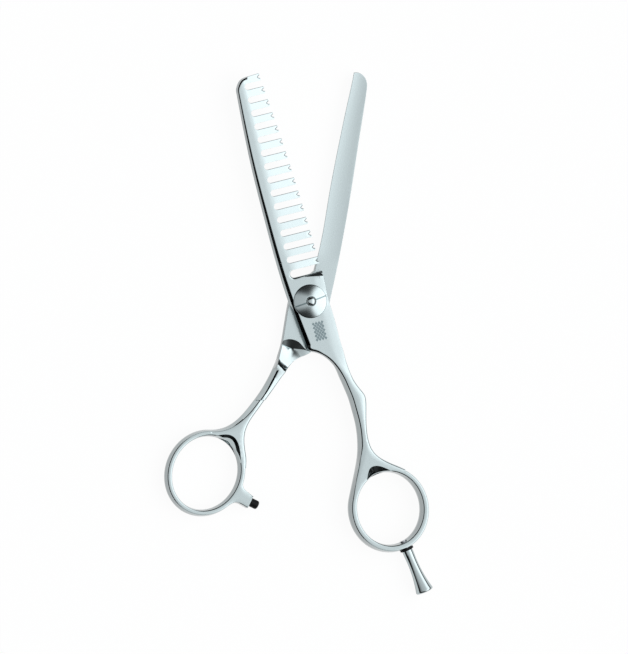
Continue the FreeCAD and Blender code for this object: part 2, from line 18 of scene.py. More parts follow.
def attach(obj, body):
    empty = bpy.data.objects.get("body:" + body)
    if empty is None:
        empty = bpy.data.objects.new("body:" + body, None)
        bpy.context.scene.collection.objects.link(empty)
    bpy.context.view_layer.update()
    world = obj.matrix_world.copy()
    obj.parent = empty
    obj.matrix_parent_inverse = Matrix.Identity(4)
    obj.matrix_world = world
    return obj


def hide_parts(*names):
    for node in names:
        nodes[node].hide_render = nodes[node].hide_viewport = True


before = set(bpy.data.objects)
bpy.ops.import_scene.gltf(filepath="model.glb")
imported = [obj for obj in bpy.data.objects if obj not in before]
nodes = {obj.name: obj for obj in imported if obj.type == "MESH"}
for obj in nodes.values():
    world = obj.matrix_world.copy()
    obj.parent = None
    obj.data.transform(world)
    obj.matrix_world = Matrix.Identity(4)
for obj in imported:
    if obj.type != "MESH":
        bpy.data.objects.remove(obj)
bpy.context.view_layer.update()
MM = 0.001

# ---------------------------------------------------------------- plane curves, in mm


def unit(v):
    """The direction of v, one long."""
    v = np.array(v, float)
    return v / np.hypot(*v)


def left_of(way):
    """The direction a quarter turn to the left of each given one."""
    way = np.asarray(way, float)
    return np.stack([-way[..., 1], way[..., 0]], -1)


def spline(points, step=0.2, first=None, last=None):
    """Points along a smooth curve through points; first and last are end directions."""
    p = np.array(points, float)
    t = np.concatenate([[0], np.cumsum(np.hypot(*np.diff(p, axis=0).T))])
    n = len(p)
    h = np.diff(t)
    a = np.zeros((n, n))
    b = np.zeros((n, 2))
    for i in range(1, n - 1):
        a[i, i - 1:i + 2] = h[i - 1], 2 * (h[i - 1] + h[i]), h[i]
        b[i] = 6 * ((p[i + 1] - p[i]) / h[i] - (p[i] - p[i - 1]) / h[i - 1])
    a[0, 0] = a[-1, -1] = 1
    if first is not None:
        a[0, :2] = 2 * h[0], h[0]
        b[0] = 6 * ((p[1] - p[0]) / h[0] - unit(first))
    if last is not None:
        a[-1, -2:] = h[-1], 2 * h[-1]
        b[-1] = 6 * (unit(last) - (p[-1] - p[-2]) / h[-1])
    m = np.linalg.solve(a, b)        # the curve's second derivatives at the points
    s = np.linspace(0, t[-1], max(2, int(round(t[-1] / step)) + 1))
    i = np.clip(np.searchsorted(t, s, side="right") - 1, 0, n - 2)
    u, w, hi = (t[i + 1] - s)[:, None], (s - t[i])[:, None], h[i][:, None]
    return (m[i] * u**3 + m[i + 1] * w**3) / (6 * hi) \
        + (p[i] / hi - m[i] * hi / 6) * u + (p[i + 1] / hi - m[i + 1] * hi / 6) * w


def straight(a, b, step=0.25):
    """Evenly spaced points from a to b."""
    return np.linspace(a, b, max(2, int(round(math.dist(a, b) / step)) + 1))


def on_circle(radius, degrees):
    """Points on a circle about the pivot axis."""
    t = np.radians(degrees)
    return radius * np.stack([np.cos(t), np.sin(t)], 1)


def circle(radius):
    """A closed line round the pivot axis."""
    return on_circle(radius, np.arange(0, 363, 3))


def both_sides_of(radius):
    """Two close lines that hold a sharp round step between them."""
    return [circle(radius - 0.01), circle(radius + 0.01)]


def beside(line, distance):
    """A line that runs beside another, this far to its left at each point."""
    d = np.gradient(line, axis=0)
    return line + distance * left_of(d) / np.hypot(*d.T)[:, None]


class Ellipse:
    """A leaning ellipse; degrees run from its upper end towards the left side."""

    def __init__(self, centre, long, short, lean):
        self.c = np.array(centre)
        self.a, self.b = long, short
        r = math.radians(90 + lean)
        self.u = np.array([math.cos(r), math.sin(r)])
        self.v = left_of(self.u)

    def at(self, degrees, grow=0.0):
        t = np.radians(degrees)
        c, s = np.cos(t)[..., None], np.sin(t)[..., None]
        grow = np.asarray(grow, float)[..., None]
        return self.c + (self.a + grow) * c * self.u + (self.b + grow) * s * self.v

    def way(self, degrees, grow=0.0):
        t = math.radians(degrees)
        return unit(-(self.a + grow) * math.sin(t) * self.u + (self.b + grow) * math.cos(t) * self.v)

    def arc(self, start, end, grow=0.0, step=0.2):
        n = int(abs(math.radians(end - start)) * self.a / step) + 2
        t = np.linspace(start, end, n)
        return self.at(t, grow(t) if callable(grow) else grow)


def repeated(value, count):
    return np.repeat(np.array(value, float)[None], count, 0)


def chain(*parts):
    """Joins (points, values) parts into one loop; values are the edge's own numbers there:
    one set for the part, one set for each end, or one set for each point."""
    xy, val = [], []
    for points, value in parts:
        points, value = np.asarray(points, float), np.asarray(value, float)
        full = len(points)
        if xy and np.hypot(*(points[0] - xy[-1])) < 1e-3:
            points = points[1:]
        if value.ndim == 2 and len(value) == full:
            value = value[full - len(points):]
        elif value.ndim == 2:
            ramp = np.linspace(0, 1, len(points))[:, None]
            value = value[0] * (1 - ramp) + value[1] * ramp
        else:
            value = repeated(value, len(points))
        xy += list(points)
        val += list(value)
    if np.hypot(*(xy[0] - xy[-1])) < 1e-3:
        xy, val = xy[:-1], val[:-1]
    return np.array(xy), np.array(val)


# ---------------------------------------------------------------- distances in the plane


def tree_of(points):
    """A search tree that finds the nearest of these points."""
    tree = KDTree(len(points))
    for i, (x, y) in enumerate(points):
        tree.insert((x, y, 0), i)
    tree.balance()
    return tree


def to_segment(q, a, b):
    """The distance of each point to its own segment a-b, and the share of the way along it."""
    d = b - a
    s = np.clip(((q - a) * d).sum(1) / (d * d).sum(1), 0, 1)[:, None]
    return np.hypot(*(a + s * d - q).T), s


def gap_to(line, q):
    """The distance of each point to a line of points."""
    tree = tree_of(line)
    near = np.array([tree.find((x, y, 0))[1] for x, y in q])
    best = np.full(len(q), 1e9)
    for k in (-1, 0):
        i = np.clip(near + k, 0, len(line) - 2)
        best = np.minimum(best, to_segment(q, line[i], line[i + 1])[0])
    return best


def in_loop(xy, q):
    """Whether each point lies inside a closed loop."""
    odd = np.zeros(len(q), bool)
    x, y = q[:, 0], q[:, 1]
    for (ax, ay), (bx, by) in zip(xy, np.roll(xy, -1, 0)):
        if ay != by:
            odd ^= ((ay > y) != (by > y)) & (x < (bx - ax) * (y - ay) / (by - ay) + ax)
    return odd


def past(line, loop, q):
    """How far each point lies past a line, on the side that the loop encloses."""
    return np.where(in_loop(loop, q), gap_to(line, q), 0.0)


class Region:
    """The inside of an outer loop, less some holes, with distances to its edge.

    A loop is its points and the edge's values at each; the material lies on its left.
    """

    def __init__(self, loops):
        self.loops = loops
        self.xy = np.concatenate([xy for xy, _ in loops])
        self.val = np.concatenate([val for _, val in loops])
        self.tree = tree_of(self.xy)
        before, after = [], []
        start = 0
        for xy, _ in loops:
            i = np.arange(len(xy))
            before.append(start + (i - 1) % len(xy))
            after.append(start + (i + 1) % len(xy))
            start += len(xy)
        self.before, self.after = np.concatenate(before), np.concatenate(after)

    def edge(self, q):
        """The distance of each point to the edge, and the edge's values there."""
        i = np.array([self.tree.find((x, y, 0))[1] for x, y in q])
        best = np.full(len(q), 1e9)
        value = np.zeros((len(q), self.val.shape[1]))
        for j in (self.before[i], self.after[i]):
            gap, s = to_segment(q, self.xy[i], self.xy[j])
            near = gap < best
            best = np.where(near, gap, best)
            value = np.where(near[:, None], self.val[i] * (1 - s) + self.val[j] * s, value)
        return best, value

    def inside(self, q):
        odd = np.zeros(len(q), bool)
        for xy, _ in self.loops:
            odd ^= in_loop(xy, q)
        return odd


# ---------------------------------------------------------------- meshes


def add_object(name, verts, faces):
    """A new mesh object in the scene, from points in mm."""
    mesh = bpy.data.meshes.new(name)
    mesh.from_pydata((np.array(verts) * MM).tolist(), [], faces)
    obj = bpy.data.objects.new(name, mesh)
    bpy.context.scene.collection.objects.link(obj)
    return obj


def shade_smooth(obj, degrees):
    """Smooth shading that stops at edges sharper than this."""
    mesh = obj.data
    mesh.polygons.foreach_set("use_smooth", [True] * len(mesh.polygons))
    mesh.update()
    mesh.set_sharp_from_angle(angle=math.radians(degrees))


def two_faced(name, xy, tri, z_top, z_low):
    """A closed piece with upper and lower heights over the same triangles, and upright sides."""
    n = len(xy)
    verts = np.concatenate([np.column_stack([xy, z_top]), np.column_stack([xy, z_low])])
    sides = dict.fromkeys(side for a, b, c in tri.tolist() for side in ((a, b), (b, c), (c, a)))
    faces = tri.tolist() + (tri[:, ::-1] + n).tolist()
    faces += [(b, a, a + n, b + n) for a, b in sides if (b, a) not in sides]
    obj = add_object(name, verts, faces)
    obj.data.validate()
    shade_smooth(obj, 20)
    return obj


CLEAR = 0.03                         # a crease stays this far from the edge
LEAST_DEPTH = 0.004                  # a ring closer to the edge than this is left out
ROW = 0.866                          # rows of a grid of equal triangles, against its spacing


def inner_rings(region, steps):
    """Points beside the edge, at the distances in from it that steps gives."""
    points, depths = [], []
    for xy, val in region.loops:
        d = np.roll(xy, -1, 0) - np.roll(xy, 1, 0)
        inward = left_of(d) / np.hypot(*d.T)[:, None]
        for depth in steps(val).T:
            points.append(xy + inward * depth[:, None])
            depths.append(depth)
    points, depths = np.concatenate(points), np.concatenate(depths)
    gap, _ = region.edge(points)     # smaller than the depth where another ring comes near
    return points[(depths > LEAST_DEPTH) & (gap > depths * 0.97 - 0.002) & region.inside(points)]


def inner_grid(region, steps, grid, taken):
    """Staggered rows of points over the region, clear of its rings and of the taken points."""
    (x0, y0), (x1, y1) = region.xy.min(0), region.xy.max(0)
    rows = []
    for i, y in enumerate(np.arange(y0, y1, grid * ROW)):
        x = np.arange(x0 + (i % 2) * grid / 2, x1, grid)
        rows.append(np.stack([x, np.full(len(x), y)], 1))
    points = np.concatenate(rows)
    points = points[region.inside(points)]
    gap, val = region.edge(points)
    points = points[gap > steps(val).max(1) + grid * 0.4]
    tree = tree_of(taken)
    return points[np.array([tree.find((x, y, 0))[2] > grid * 0.45 for x, y in points], bool)]


def build_plate(name, region, steps, top, low, lines=(), grid=0.8):
    """A closed piece between two height functions over a region.

    steps gives, from the edge's values, the distances from the edge at which rings of points
    lie; lines are creases that the mesh follows; grid is the spacing of the other points.
    """
    points = [region.xy, inner_rings(region, steps)]
    edges = list(enumerate(region.after.tolist()))
    for line in lines:
        kept = region.inside(line) & (region.edge(line)[0] > CLEAR)
        where = np.full(len(line), -1)
        where[kept] = sum(len(p) for p in points) + np.arange(kept.sum())
        points.append(line[kept])
        edges += [(int(a), int(b)) for a, b in zip(where, where[1:]) if a >= 0 and b >= 0]
    points.append(inner_grid(region, steps, grid, np.concatenate(points[1:])))
    flat = [Vector(p) for p in np.concatenate(points)]
    verts, _, faces, _, _, _ = delaunay_2d_cdt(flat, edges, [], 0, 1e-5)
    xy = np.array([(v.x, v.y) for v in verts])
    tri = np.array(faces)
    tri = tri[region.inside(xy[tri].mean(1))]
    used = np.unique(tri)
    xy, tri = xy[used], np.searchsorted(used, tri)
    gap, val = region.edge(xy)
    return two_faced(name, xy, tri, top(xy, gap, val), low(xy, gap, val))


def lathe(name, profile, sides=96):
    """A piece turned about the pivot axis from its (radius, height) points."""
    n = len(profile)
    verts, faces = [], []
    for i in range(sides):
        a = 2 * math.pi * i / sides
        k = (i + 1) % sides
        verts += [(r * math.cos(a), r * math.sin(a), h) for r, h in profile]
        faces += [(i * n + j, k * n + j, k * n + j + 1, i * n + j + 1) for j in range(n - 1)]
    obj = add_object(name, verts, faces)
    bm = bmesh.new()
    bm.from_mesh(obj.data)
    bmesh.ops.remove_doubles(bm, verts=bm.verts, dist=1e-7)
    bmesh.ops.recalc_face_normals(bm, faces=bm.faces)
    bm.to_mesh(obj.data)
    bm.free()
    shade_smooth(obj, 28)
    return obj


# ---------------------------------------------------------------- shapes shared by both halves

ROUND_IN, ROUND_DOWN, FOOT, FACET, CROWN_IN, CROWN_DOWN = range(6)


def edged(round_in, round_down, foot=0.0, facet=0.0, crown_in=1.0, crown_down=0.0):
    """What an edge looks like: its rounding, the run of the steep face below a facet, the
    width of the facet, and how far in and down the top face is crowned."""
    return round_in, round_down, foot, facet, crown_in, crown_down


BORE = edged(0.02, 0.02)
BLADE = edged(0.10, 0.10)
TOOTH_UPPER = edged(0.13, 0.13)
TOOTH_LOWER = edged(0.03, 0.03)
HEEL_LIP = edged(0.80, 0.62)
NOTCHED = edged(0.60, 0.50)
TIP = edged(0.12, 0.12, 0.20, 0.55)
SPINE_TIP = edged(0.12, 0.12, 0.12, 0.28)
SPINE = edged(0.12, 0.12, 0.40, 1.05)
NECK_CORNER = edged(0.12, 0.12, 0.26, 0.72)
ARCH = edged(0.12, 0.12, 0.15, 0.38)
NECK = edged(0.12, 0.12, crown_in=4.0, crown_down=0.25)
NECK_LOW = edged(0.30, 0.35, crown_in=3.0, crown_down=0.30)
HANDLE = edged(0.50, 0.55, crown_in=2.2, crown_down=0.34)
SLIM = edged(0.50, 0.55, crown_in=1.3, crown_down=0.24)
HANDLE_LEFT = edged(0.30, 0.35, 0.45, 0.28, 2.2, 0.34)
SHANK_LEFT = edged(0.30, 0.35, 0.78, 0.32, 2.2, 0.20)
SHANK_TOP = edged(0.30, 0.35, 0.60, 0.52, 2.2, 0.20)
RING = edged(0.28, 0.32, 0.34, 0.22, 1.03, 0.22)
ARM = edged(0.30, 0.35, crown_in=1.5, crown_down=0.12)

FACET_SLOPE = 0.9
SIDE_START = 0.45                    # the steep face of a handle starts this share of the way up
SOFT_LOW = 0.6                       # the most that a lower edge is rounded
PIVOT_END = -5.0                     # heights follow the distance from the pivot below this y only
NECK_END = -14.0                     # below this y a neck turns into its handle

RIDE_TOP, RIDE_LOW = 2.85, 2.90      # the two blades' meeting faces
PLATE_TOP, PLATE_LOW = 5.5, 0.25
HANDLE_TOP, HANDLE_LOW = 5.4, 0.05
LEAST = 0.25                         # the least thickness that a flared fork leaves
THIN_EDGE = 0.03                     # the least at the plain blade's own edge
HALF_BAR = 1.03                      # half width of a ring's bar


def smooth(t):
    """A soft step from 0 to 1."""
    t = np.clip(t, 0, 1)
    return t * t * (3 - 2 * t)


def graded(points, keys):
    """Edge values that follow the y of each point, between the given (y, value) ones."""
    keys = sorted(keys)
    y = [k for k, _ in keys]
    v = np.array([value for _, value in keys])
    return np.stack([np.interp(points[:, 1], y, v[:, i]) for i in range(v.shape[1])], 1)


def round_edge(radius, value, step=3, way=1):
    """A round outer edge, or the edge of a round hole where way is -1."""
    xy = on_circle(radius, np.arange(0, 360, step) * way)
    return xy, repeated(value, len(xy))


def opening(ellipse, grow):
    """The ring's opening as a hole, so it runs the other way round."""
    xy = ellipse.arc(0, 360, grow)[:-1][::-1]
    return xy, repeated(RING, len(xy))


def edge_steps(val):
    """Rings of points that follow the rounded edge, the steep face and the facet."""
    foot = val[:, FOOT]
    end = foot + val[:, FACET]
    # even steps round the arc, and one beyond it
    rounds = [val[:, ROUND_IN] * k for k in (0.0489, 0.191, 0.412, 0.691, 1.0, 1.6)]
    flats = [foot * 0.5, foot - 0.01, foot + 0.01, foot + val[:, FACET] * 0.5, end - 0.01, end + 0.02,
             end + 0.25]
    return np.stack(rounds + flats, 1)


def rounded(gap, radius, drop):
    """How far a rounded edge lies below the flat at a distance in from the edge."""
    t = np.clip(1 - gap / np.maximum(radius, 1e-6), 0, 1)
    return drop * (1 - np.sqrt(np.clip(1 - t * t, 0, 1)))


def edge_drop(gap, val):
    """How far the rounding of an upper edge lies below its top face."""
    return rounded(gap, val[:, ROUND_IN], val[:, ROUND_DOWN])


def crown_drop(gap, val):
    """How far a gently crowned top face falls towards its edge."""
    return val[:, CROWN_DOWN] * np.clip(1 - gap / val[:, CROWN_IN], 0, 1)**2


def low_rise(q, gap, val):
    """The rounding of a lower edge; the plates stay sharp, the handles are rounded."""
    rise = rounded(gap, np.minimum(val[:, ROUND_IN], SOFT_LOW), np.minimum(val[:, ROUND_DOWN], SOFT_LOW))
    return rise * smooth((np.hypot(*q.T) - 18) / 4) * (q[:, 1] < PIVOT_END)


def shaped(q, gap, val, base, low):
    """A crowned top face with rounded edges; where it has a facet, the side rises to the
    facet from part way up."""
    foot, facet = np.maximum(val[:, FOOT], 1e-3), val[:, FACET]
    start = SIDE_START * smooth((NECK_END - q[:, 1]) / 6)
    steep = (1 - start) * (base - FACET_SLOPE * facet - low) * np.clip(1 - gap / foot, 0, 1)
    cut = FACET_SLOPE * np.clip(facet + foot - gap, 0, facet) + steep
    return base - crown_drop(gap, val) - np.maximum(np.where(facet > 0.01, cut, 0), edge_drop(gap, val))


# ---------------------------------------------------------------- comb half

FINGER = Ellipse((25.02, -63.09), 12.14, 11.14, 10.6)
FULLER = 0.17                        # the ring's bar is this much fuller at its lower end
FINGER_FORK = spline([(17.2, -58.5), (17.55, -55.5), (17.95, -52.6), (18.8, -50.6), (20.6, -50.0),
                      (22.8, -50.45), (25.2, -51.5), (28.5, -52.9)], 0.15)
FINGER_LOOP = np.vstack([FINGER_FORK, FINGER.c])
FINGER_FLARE, FINGER_FLARE_LOW = 0.78, 0.7       # slopes of the flared fork, above and below

TEETH, PITCH, GAP, SLANT = 15, 4.18, 2.0, math.radians(13.5)
NOTCH, NOTCH_HALF = 0.7, 0.45        # the V in each tooth's end, in and up or down
LAST_GAP = 0.2                       # the gap at the heel is wider by twice this
LEAN, LEAN_STEP = 20.8, 0.36         # degrees that the row of ends leans, and less per tooth
HEEL_X = 4.0
TIP_CORNER, FIRST_END = (-19.62, 68.07), np.array([-16.05, 68.04])
TIP_ROOT, HEEL_ROOT = np.array([-20.46, 65.55]), np.array([-7.24, 12.42])
ALONG = np.array([math.cos(SLANT), math.sin(SLANT)])
DOWN = np.array([math.sin(SLANT), -math.cos(SLANT)])


def finger_bar(degrees):
    """Half width of the finger ring's bar, a little fuller below."""
    return HALF_BAR + FULLER * (1 - np.cos(np.radians(degrees))) / 2


def tooth_ends():
    """The middle of each tooth's end, from the tip down to the heel."""
    ends = [FIRST_END]
    for n in range(1, TEETH):
        lean = math.radians(LEAN - LEAN_STEP * n)
        ends.append(ends[-1] + PITCH * np.array([math.sin(lean), -math.cos(lean)]))
    return ends


ENDS = tooth_ends()


def tooth_edge():
    """The toothed edge from the heel up to the tip: round gap roots, a V in each end."""
    row = unit(ENDS[-1] - ENDS[0])
    span = HEEL_ROOT - TIP_ROOT
    k = (PITCH - GAP) / 2 / float(row @ DOWN)
    turn = np.radians(np.linspace(0, 180, 16))
    parts = []
    for n in range(TEETH - 1, -1, -1):
        end = ENDS[n]
        wider = LAST_GAP if n == TEETH - 1 else 0
        half = GAP / 2 + wider
        middle = end + DOWN * (PITCH / 2 + wider)
        root = TIP_ROOT + span * float((middle - TIP_ROOT) @ span) / float(span @ span)
        centre = middle + ALONG * (float((root - middle) @ ALONG) + half)
        arc = centre + half * (np.cos(turn)[:, None] * DOWN - np.sin(turn)[:, None] * ALONG)
        mouth = end + row * PITCH + ALONG * NOTCH - row * k
        lip = TOOTH_UPPER
        if n == TEETH - 1:
            lip = HEEL_LIP
            mouth = arc[0] + ALONG * (HEEL_X - arc[0][0]) / ALONG[0]
        face = end + ALONG * NOTCH
        low_lip, high_lip = face + DOWN * NOTCH_HALF, face - DOWN * NOTCH_HALF
        parts += [(straight(mouth, arc[0]), (TOOTH_UPPER, lip)), (arc, (lip, TOOTH_LOWER)),
                  (straight(arc[-1], face + row * k), TOOTH_LOWER),
                  (straight(face + row * k, low_lip, 0.12), TOOTH_LOWER),
                  (straight(low_lip, end, 0.12), NOTCHED), (straight(end, high_lip, 0.12), NOTCHED),
                  (straight(high_lip, face - row * k, 0.12), TOOTH_LOWER)]
    return parts


def comb_outline():
    """The edge of the comb half: tip, spine, arch, ring, right side and teeth."""
    left_end, right_end = 66.0, 325.0
    spine = spline([(-22.44, 63.5), (-20.58, 53.8), (-17.41, 39.2), (-13.66, 24.65),
                    (-9.62, 10.1), (-6.15, -0.55), (-3.4, -8.0), (-1.2, -13.7)])
    tip = spline([TIP_CORNER, (-21.15, 67.25), (-22.15, 65.6), (-22.44, 63.5)],
                 0.15, last=spine[1] - spine[0])
    ring_left = FINGER.at(np.array([left_end]), finger_bar(left_end))[0]
    arch = spline([(-1.2, -13.7), (-0.3, -14.95), (1.5, -15.45), (3.85, -16.3), (6.1, -17.8), (7.7, -19.4),
                   (8.8, -20.9), (9.65, -22.4), (10.4, -23.9), (11.8, -27.0), (12.8, -29.4),
                   (13.9, -33.0), (14.75, -36.1), (15.35, -39.1), (15.65, -42.1),
                   (15.7, -45.2), (15.4, -48.2), (14.6, -52.5), tuple(ring_left)],
                  first=spine[-1] - spine[-2], last=FINGER.way(left_end, HALF_BAR))
    ring_arc = FINGER.arc(left_end, right_end, finger_bar)
    right = spline([tuple(ring_arc[-1]), (25.6, -49.35), (23.1, -48.2), (21.1, -46.9), (19.5, -45.1),
                    (18.3, -42.1), (17.8, -39.1), (17.65, -36.1), (17.65, -33.0), (17.6, -30.4),
                    (17.2, -28.6), (16.02, -26.96), (13.74, -23.9), (12.3, -20.9), (11.17, -17.85),
                    (10.28, -14.8), (9.5, -12.4), (7.54, -5.1), (5.65, 0.95), (4.6, 5.8), (4.0, 8.4)],
                   first=FINGER.way(right_end, HALF_BAR))
    teeth = tooth_edge()
    arch_keys = [(-60, RING), (-50, SLIM), (-44, HANDLE_LEFT), (-24, HANDLE_LEFT), (-20, ARCH),
                 (-16.2, ARCH), (-14.9, NECK_CORNER), (-13.7, SPINE)]
    right_keys = [(-60, RING), (-50, SLIM), (-40, SLIM), (-31, HANDLE), (-24, HANDLE),
                  (-20, NECK_LOW), (-15, NECK), (8.4, NECK)]
    return chain(
        (tip, (TIP, SPINE_TIP)), (spine, (SPINE_TIP, SPINE)), (arch, graded(arch, arch_keys)),
        (ring_arc, RING), (right, graded(right, right_keys)),
        (straight(right[-1], teeth[0][0][0]), BLADE), *teeth,
        (straight(teeth[-1][0][-1], TIP_CORNER), BLADE))


TOOTH_DROP = 1.15                    # the tooth ends are this much thinner than the plate
HEEL_DELAY = 1.3                     # near the heel the thinning starts this much further in
ROOT_SOFT = 0.012                    # how softly it starts
HEEL_END = 6.0                       # below the heel by this much there is no thinning at all
HEEL_EDGE = ENDS[-1] + DOWN * (PITCH / 2 + GAP / 2 + 2 * LAST_GAP)
HEEL_RISE = 0.8                      # slope of the face at the heel, up to the flat neck


def tooth_slope(q):
    """How far the toothed side has thinned: from nothing at the gap roots to the tooth ends."""
    way = unit(HEEL_ROOT - TIP_ROOT)
    side = left_of(way)
    down, t = (q - TIP_ROOT) @ way, (q - TIP_ROOT) @ side
    span = float((HEEL_ROOT - TIP_ROOT) @ way)
    width = np.interp(down, [0, span], [(ENDS[0] - TIP_ROOT) @ side, (ENDS[-1] - HEEL_ROOT) @ side])
    later = HEEL_DELAY * smooth((down - span + 6) / 10)
    u = (t + 0.1 - later) / (width + 0.5 - later)
    return TOOTH_DROP * 0.5 * (u + np.sqrt(u * u + ROOT_SOFT))


def heel_drop(q):
    """The thinned side, and the steep ground face where it ends at the neck."""
    below = (q - HEEL_EDGE) @ DOWN
    return np.clip(tooth_slope(q) - np.clip(below, 0, None) * HEEL_RISE, 0, None) * (below < HEEL_END)


def heel_line():
    """Where the ground face at the heel meets the flat neck."""
    edge = HEEL_EDGE + np.arange(-9, 6, 0.2)[:, None] * ALONG
    q = edge
    for _ in range(8):
        q = edge + (tooth_slope(q) / HEEL_RISE)[:, None] * DOWN
    return q


DISC_SEAT, DISC_SEAT_TOP = 4.5, 4.0  # the pocket under the disc: its radius and its floor
RIDE_END, UNDERCUT = 14.7, 0.85      # this far from the pivot the ride face ends in a hollow this deep
UNDERCUT_END, FALL_START = 16.4, 19.5            # the hollow runs out and the fall to the handle begins


def comb_base(q):
    """The lower face: flat on the blade, hollowed below the neck, then down to the handle."""
    x, y = q.T
    r = np.hypot(x, y)
    deeper = 1 - np.exp(-np.clip(r - RIDE_END, 0, None) / 0.6)
    cove = UNDERCUT * deeper * (1 - smooth((r - UNDERCUT_END) / 4))
    down = (RIDE_LOW - HANDLE_LOW) * smooth((r - FALL_START) / 6.5)
    return np.where(y < PIVOT_END, RIDE_LOW + cove - down, RIDE_LOW)


def comb_top(q, gap, val):
    x, y = q.T
    flat = PLATE_TOP - (PLATE_TOP - HANDLE_TOP) * smooth((NECK_END - 1 - y) / 8) - heel_drop(q)
    z = shaped(q, gap, val, flat, comb_base(q)) - FINGER_FLARE * past(FINGER_FORK, FINGER_LOOP, q)
    z = np.where(np.hypot(x, y) < DISC_SEAT, DISC_SEAT_TOP, z)
    return np.maximum(z, comb_base(q) + LEAST)


def comb_low(q, gap, val):
    return comb_base(q) + low_rise(q, gap, val) + FINGER_FLARE_LOW * past(FINGER_FORK, FINGER_LOOP, q)


comb_region = Region([comb_outline(), opening(FINGER, lambda t: -finger_bar(t)),
                      round_edge(3.2, BORE, step=4, way=-1)])
comb = build_plate("comb_blade_forging", comb_region, edge_steps, comb_top, comb_low,
                   lines=both_sides_of(DISC_SEAT) + [heel_line(), circle(RIDE_END), FINGER_FORK])

# ---------------------------------------------------------------- straight half

THUMB = Ellipse((-31.85, -52.1), 12.4, 11.05, -27.0)
THUMB_FORK = spline([(-31.5, -41.6), (-28.6, -40.75), (-26.0, -40.4), (-24.1, -40.75), (-22.7, -41.9),
                     (-21.9, -43.6), (-21.4, -46.0), (-21.2, -49.0)], 0.15)
THUMB_LOOP = np.vstack([THUMB_FORK, THUMB.c])
THUMB_FLARE, THUMB_FALL, THUMB_FLARE_LOW = 0.85, 2.2, 0.2
FLARE_BAND = 0.95                    # past this from the fork the flare falls away steeply

EDGE = spline([(14.15, 69.55), (13.95, 68.4), (12.35, 61.1), (9.2, 46.5), (6.36, 31.9), (3.97, 18.4),
               (2.92, 13.7), (2.1, 9.4)])
HOLLOW = 0.12                        # depth of the hollow along the blade's inner face
BEVEL_HIGH, BEVEL_WIDE = 2.4, 4.2    # the bevel on the blade's back, towards the edge
GLIDE_SEAT, GLIDE_SEAT_TOP = 4.4, 2.6            # the pocket of the glide washer
NUT_SEAT, NUT_SEAT_TOP = 4.0, 0.6    # the recess of the nut's flange

# the neck, by the distance from the pivot along the shank: the scoop's upper and lower lines,
# the slopes of the scoop and of the step, and where the neck and the step start and end
SHANK_WAY = np.array([-0.69, -0.72])
COVE = spline([(-10.0, -12.6), (-8.8, -12.2), (-7.6, -11.85), (-6.2, -11.5), (-4.6, -11.65),
               (-3.1, -12.3), (-1.8, -13.55), (-0.5, -14.85), (1.0, -15.7), (3.0, -16.6)], 0.15)
LIP = spline([(-10.0, -12.9), (-8.8, -13.0), (-7.8, -13.25), (-5.2, -14.2), (-1.75, -14.65),
              (-0.5, -14.95), (1.0, -15.8), (3.0, -16.7)], 0.15)
BELOW_NECK = [(3.0, -30.0), (-20.0, -30.0), (-20.0, -13.0)]
COVE_LOOP, LIP_LOOP = np.vstack([COVE, BELOW_NECK]), np.vstack([LIP, BELOW_NECK])
COVE_SLOPE, STEP_SLOPE = 0.44, 0.78
NECK_FOOT, STEP_FOOT, STEP_TOP = 13.4, 19.0, 20.8
LIP_WIDTH = 0.25


